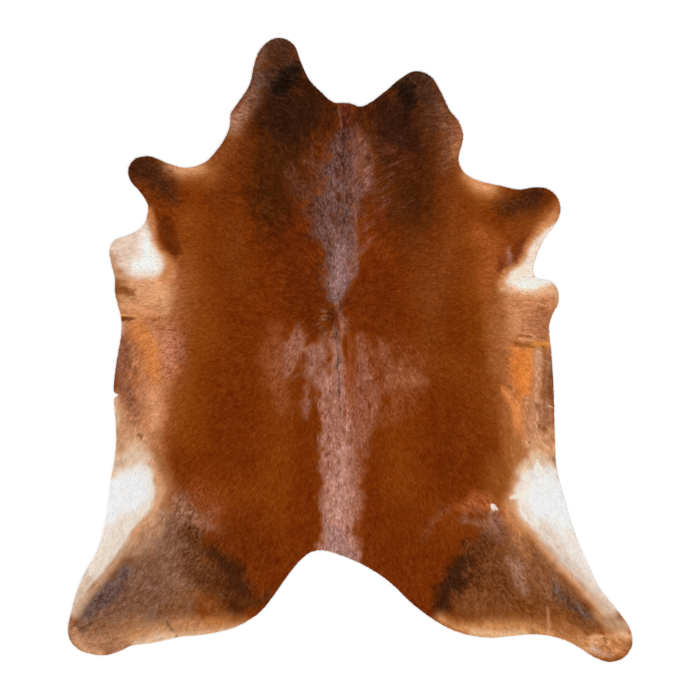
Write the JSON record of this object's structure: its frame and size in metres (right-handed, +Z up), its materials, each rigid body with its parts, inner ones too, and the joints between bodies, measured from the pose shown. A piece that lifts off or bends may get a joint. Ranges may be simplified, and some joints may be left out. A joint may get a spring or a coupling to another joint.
{
  "type": "cowhide rug",
  "caption": "Whole hair-on cowhide laid flat as a floor rug, with short brown hair, pale flank and thigh patches, neck lobes and leg flaps in a natural outline, and a flat leather underside.",
  "frame": {"origin": "on the floor, under the middle of the box around the hide's outline", "axes": "+Z up out of the hair side, +Y along the spine from the tail to the neck, +X to the right seen from above with the hair side up"},
  "size_m": [2.2514, 2.489, 0.009],
  "materials": {
    "hair_on_leather": "short flat-lying natural hair on chrome-tanned leather, chestnut brown with pale patches, soft satin sheen"
  },
  "bodies": {
    "root": {"hide": "hair_on_leather"}
  },
  "joints": []
}
